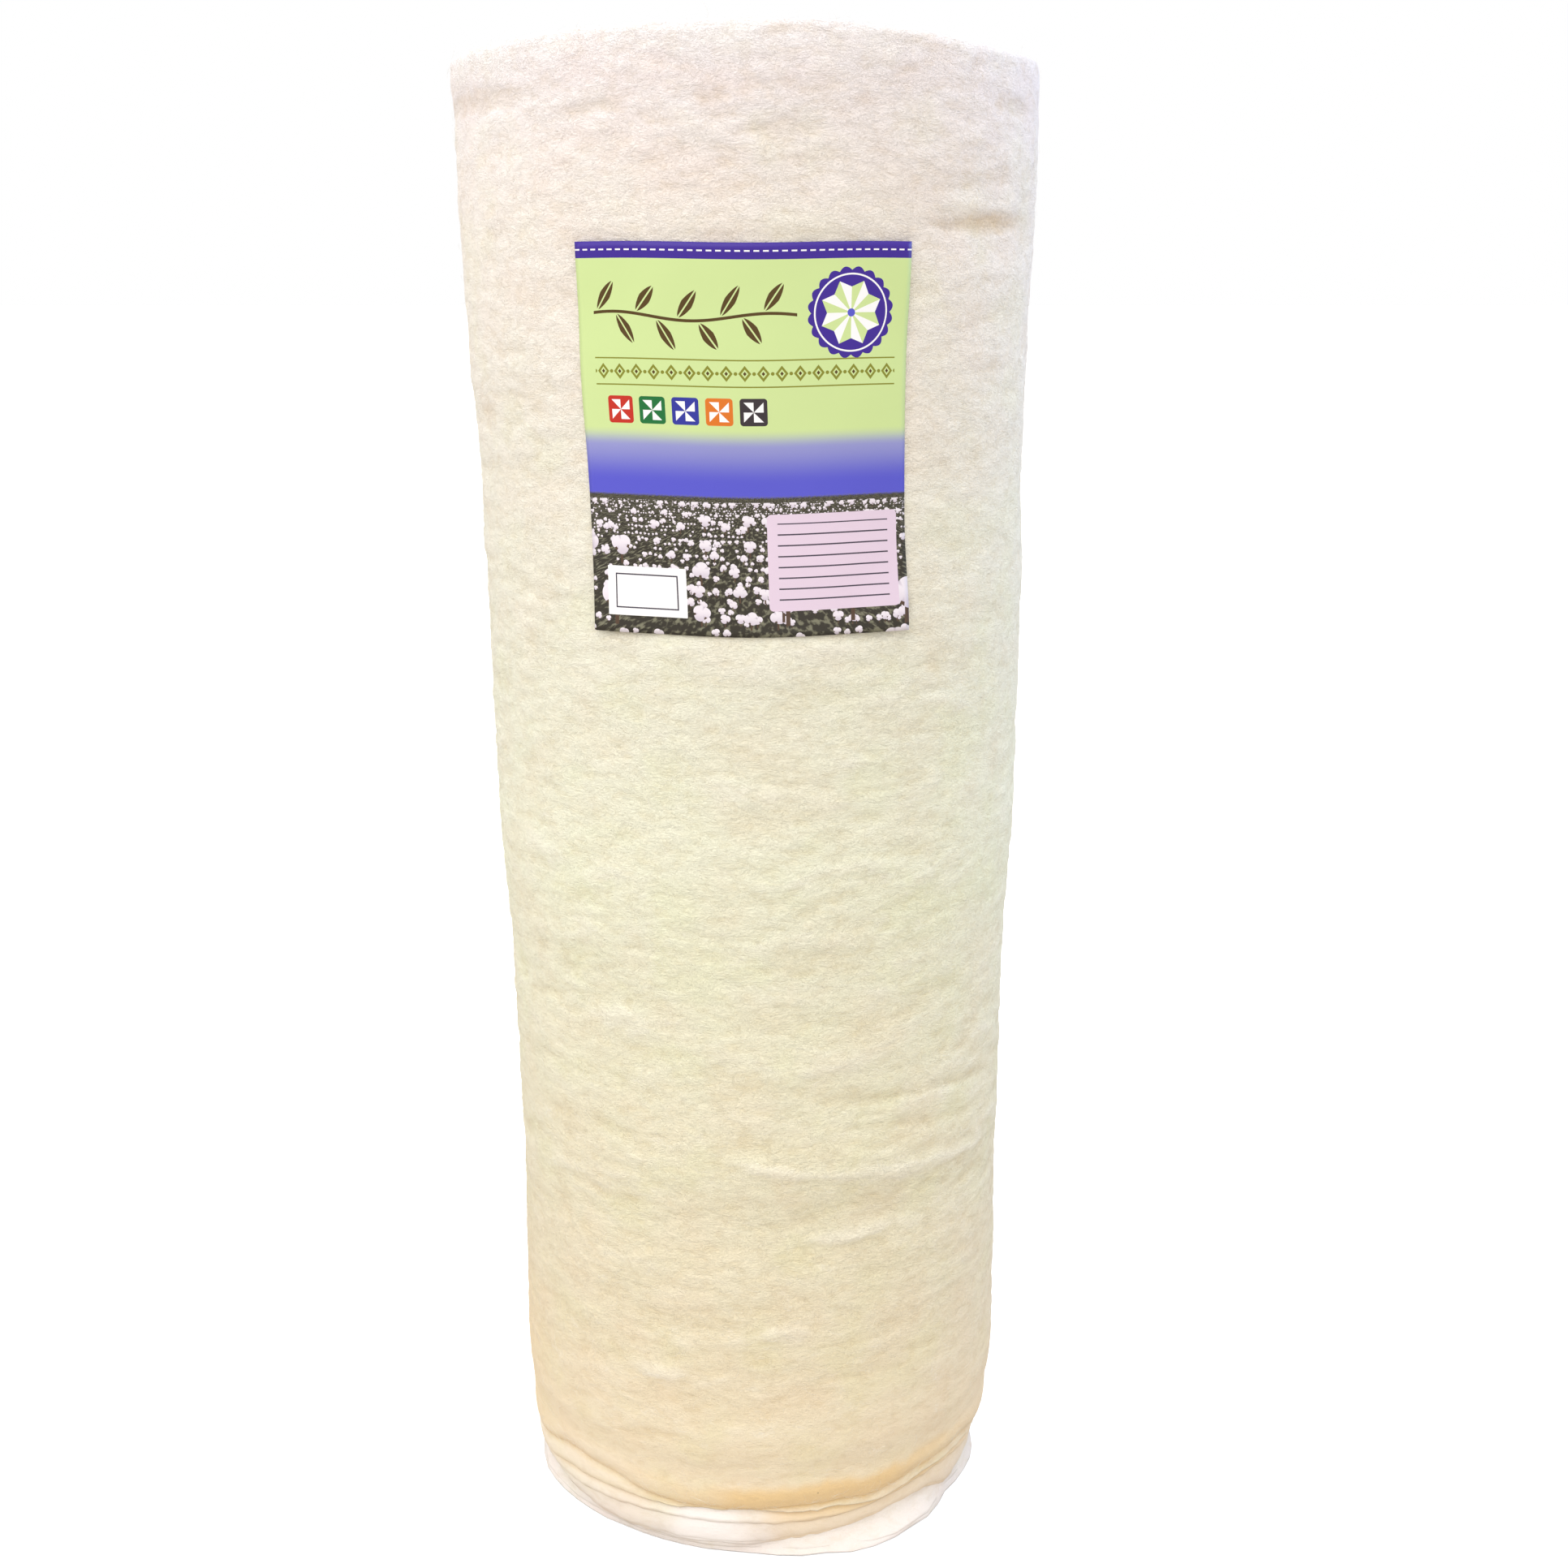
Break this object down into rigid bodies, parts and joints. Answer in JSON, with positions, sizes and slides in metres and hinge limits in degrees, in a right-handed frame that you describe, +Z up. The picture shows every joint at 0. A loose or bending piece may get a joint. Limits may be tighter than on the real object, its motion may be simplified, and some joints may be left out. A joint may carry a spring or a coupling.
{
  "type": "roll of quilt batting",
  "caption": "Tall oval roll of folded cotton quilt batting standing on its end, with telescoped raw edges at the foot and a paper label on its front.",
  "frame": {"origin": "on the floor, under the middle of the roll", "axes": "+Z up along the roll, +X to the right of someone who faces the label, and -Y out of the label"},
  "size_m": [0.4192, 0.368, 1.156],
  "materials": {
    "batting": "matt needle-punched cotton, soft and fibrous, natural ivory",
    "label_paper": "printed paper, slightly glossy"
  },
  "bodies": {
    "root": {"batting_roll": "batting", "label": "label_paper"}
  },
  "joints": []
}
